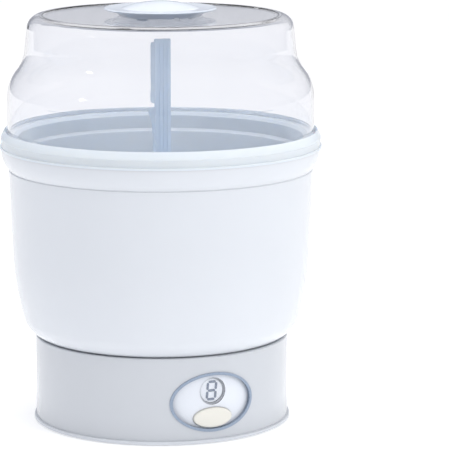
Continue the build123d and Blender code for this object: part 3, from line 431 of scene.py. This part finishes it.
@dataclass
class Heater:
    """Heating plate and what is clamped under it."""

    stretch: Triple = (1.0, 14.0, 1.0)

    def dress(self, dresser: Dresser) -> None:
        """Dress the heater's pieces."""
        dresser.dress(Metal("stainless", (0.60, 0.60, 0.61), 0.28, self.stretch), "heating_plate")
        dresser.dress(Metal("cast_alloy", (0.62, 0.62, 0.64), 0.5), "heat_spreader")
        dresser.dress(Metal("sheath", (0.16, 0.15, 0.15), 0.45), "heating_element")
        dresser.dress(Metal("fuse_case", (0.55, 0.52, 0.40), 0.35), "thermal_fuse")
        dresser.dress(Moulded("thermostat_resin", (0.05, 0.035, 0.03), 0.5), "thermostat")
        dresser.dress(Moulded("lead_sleeve", (0.70, 0.68, 0.60), 0.6, grain=2500.0), "element_leads")
        screws = ("cover_screws", "body_screws", "retainer_screws", "board_screws")
        plated = Metal("plated_steel", (0.46, 0.46, 0.48), 0.35)
        dresser.dress(plated, "plate_retainer", "fuse_clip", "element_terminals", *screws)


@dataclass
class Basket:
    """Pale blue basket and its carrying stem."""

    blue: Colour = (0.82, 0.905, 1.0)
    stem_blue: Colour = (0.75, 0.86, 1.0)

    def dress(self, dresser: Dresser) -> None:
        """Dress the basket and the stem."""
        dresser.dress(Milky("blue_basket", self.blue, 0.12, scatter=0.5), "basket")
        dresser.dress(Milky("blue_stem", self.stem_blue, 0.15, scatter=0.45), "basket_stem")


@dataclass
class Lid:
    """Clear lid and its milky knob."""

    def dress(self, dresser: Dresser) -> None:
        """Dress the lid and the knob."""
        dresser.dress(Clear("clear_lid", (0.94, 0.945, 0.965), 0.015, shadow=0.05), "lid_shell")
        dresser.dress(Milky("milky_knob", (0.68, 0.725, 0.80), 0.15, 0.15, scatter=0.06), "lid_handle")


# ---- studio ----
class Side(Enum):
    """Where a soft light stands, as degrees to the right of the camera."""

    LEFT = -62.0
    RIGHT = 50.0


@dataclass
class Camera:
    """Where the camera stands and what it looks at, in metres and degrees."""

    azimuth: float = -23.5
    distance: float = 2.25
    height: float = 0.566
    aim_right: float = 0.0518
    aim_height: float = 0.159
    lens: float = 223.2
    sensor: float = 36.0
    reach: float = 50.0

    def right(self) -> Vector:
        """Return the level direction to the camera's right."""
        turn = math.radians(self.azimuth)
        return Vector((math.cos(turn), math.sin(turn), 0.0))

    def toward(self, degrees: float, distance: float, height: float) -> Vector:
        """Return a place round the object, measured from the camera's own direction.

        Args:
            degrees: Turn to the camera's right, seen from the camera.
            distance: Level distance from the object's axis.
            height: Height above the floor.

        Returns:
            The place.
        """
        turn = math.radians(self.azimuth + degrees)
        return Vector((math.sin(turn) * distance, -math.cos(turn) * distance, height))

    def build(self) -> None:
        """Make the camera and look through it."""
        data = bpy.data.cameras.new("studio_camera")
        data.lens = self.lens
        data.sensor_width = self.sensor
        data.clip_end = self.reach
        body = bpy.data.objects.new("studio_camera", data)
        body.location = self.toward(0.0, self.distance, self.height)
        target = self.right() * self.aim_right + Vector((0.0, 0.0, self.aim_height))
        body.rotation_euler = (target - body.location).to_track_quat("-Z", "Y").to_euler()
        bpy.context.scene.collection.objects.link(body)
        bpy.context.scene.camera = body


@dataclass
class Studio:
    """Pale floor, even surround and soft lights."""

    camera: Camera = field(default_factory=Camera)
    floor_size: float = 16.0
    floor_glow: float = 0.27
    sky: Colour = (0.98, 0.98, 1.0)
    horizon: Colour = (0.55, 0.57, 0.64)
    surround: float = 0.85
    side_tilt: float = 0.3
    sky_span: Span = (0.06, 0.42)
    floor_white: Colour = (0.93, 0.93, 0.93)
    floor_roughness: float = 0.9
    aim_height: float = 0.2
    rim_height: float = 0.237
    key_distance: float = 1.6
    key_height: float = 0.9
    key_size: float = 1.0
    key_watts: float = 6.3
    glint_distance: float = 1.5
    glint_height: float = 0.95
    glint_size: float = 0.14
    glint_watts: float = 1.6
    top_place: Triple = (0.0, 0.2, 1.9)
    top_size: float = 1.4
    top_watts: float = 6.0
    beam_height: float = 1.7
    beam_width: float = 0.30
    beam_watts: float = 100.0

    def softbox(self, name: str, place: Vector, size: float, watts: float, shows: bool = False) -> None:
        """Add a round soft light that faces the middle of the object.

        Args:
            name: The light's name.
            place: Where it stands.
            size: Its diameter.
            watts: Its power.
            shows: Whether glossy surfaces mirror it.
        """
        data = bpy.data.lights.new(name, "AREA")
        data.shape = "DISK"
        data.size = size
        data.energy = watts
        lamp = bpy.data.objects.new(name, data)
        lamp.location = place
        aim = Vector((0.0, 0.0, self.aim_height)) - place
        lamp.rotation_euler = aim.to_track_quat("-Z", "Y").to_euler()
        lamp.visible_glossy = shows
        lamp.visible_transmission = shows
        bpy.context.scene.collection.objects.link(lamp)

    def beam(self) -> None:
        """Add a soft light above the lid that reaches down into the basket."""
        data = bpy.data.lights.new("basket_light", "SPOT")
        data.energy = self.beam_watts
        data.spot_size = 2 * math.atan2(self.beam_width / 2, self.beam_height - self.rim_height)
        data.spot_blend = 1.0
        data.shadow_soft_size = self.beam_width / 2
        lamp = bpy.data.objects.new("basket_light", data)
        lamp.location = (0.0, 0.0, self.beam_height)
        lamp.visible_glossy = False
        lamp.visible_transmission = False
        bpy.context.scene.collection.objects.link(lamp)

    def floor(self) -> None:
        """Lay the floor, which glows a little so that it stays white under the soft light."""
        bpy.ops.mesh.primitive_plane_add(size=self.floor_size)
        floor = bpy.context.object
        floor.name = "floor"
        plain = Moulded("floor_white", self.floor_white, self.floor_roughness, variation=0.0, depth=0.0)
        white = plain.make()
        shader = white.node_tree.nodes["Principled BSDF"]
        shader.inputs["Emission Color"].default_value = (1.0, 1.0, 1.0, 1.0)
        shader.inputs["Emission Strength"].default_value = self.floor_glow
        shader.inputs["Specular IOR Level"].default_value = 0.0
        floor.data.materials.append(white)

    def sky_dome(self) -> bpy.types.World:
        """Return the surround, which is dimmer at the horizon and to the left than overhead."""
        world = bpy.data.worlds.new("surround")
        world.use_nodes = True
        tree = world.node_tree
        background = tree.nodes["Background"]
        direction = tree.nodes.new("ShaderNodeTexCoord")
        lean = tree.nodes.new("ShaderNodeVectorMath")
        lean.operation = "DOT_PRODUCT"
        lean.inputs[1].default_value = self.camera.right() * self.side_tilt + Vector((0.0, 0.0, 1.0))
        ramp = tree.nodes.new("ShaderNodeValToRGB")
        ramp.color_ramp.elements[0].color = (*self.horizon, 1.0)
        ramp.color_ramp.elements[0].position = self.sky_span[0]
        ramp.color_ramp.elements[1].color = (*self.sky, 1.0)
        ramp.color_ramp.elements[1].position = self.sky_span[1]
        tree.links.new(direction.outputs["Generated"], lean.inputs[0])
        tree.links.new(lean.outputs["Value"], ramp.inputs["Fac"])
        tree.links.new(ramp.outputs["Color"], background.inputs["Color"])
        background.inputs["Strength"].default_value = self.surround
        return world

    def build(self) -> None:
        """Set the floor, surround, lights and camera."""
        scene = bpy.context.scene
        scene.view_settings.view_transform = "Standard"
        scene.world = self.sky_dome()
        self.floor()
        key = self.camera.toward(Side.RIGHT.value, self.key_distance, self.key_height)
        glint = self.camera.toward(Side.LEFT.value, self.glint_distance, self.glint_height)
        self.softbox("key_light", key, self.key_size, self.key_watts)
        self.softbox("glint_light", glint, self.glint_size, self.glint_watts, shows=True)
        self.softbox("top_light", Vector(self.top_place), self.top_size, self.top_watts)
        self.beam()
        self.camera.build()


def main() -> None:
    """Load the model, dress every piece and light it."""
    logging.basicConfig(level=logging.INFO, format="%(message)s")
    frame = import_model()
    dresser = Dresser(frame)
    for part in (Housing(), Panel(), Heater(), Basket(), Lid()):
        part.dress(dresser)
    missing = set(frame["nodes"]) - dresser.done
    LOG.info("dressed %d pieces, missing %s", len(dresser.done), sorted(missing))
    Studio().build()


if __name__ == "__main__":
    main()
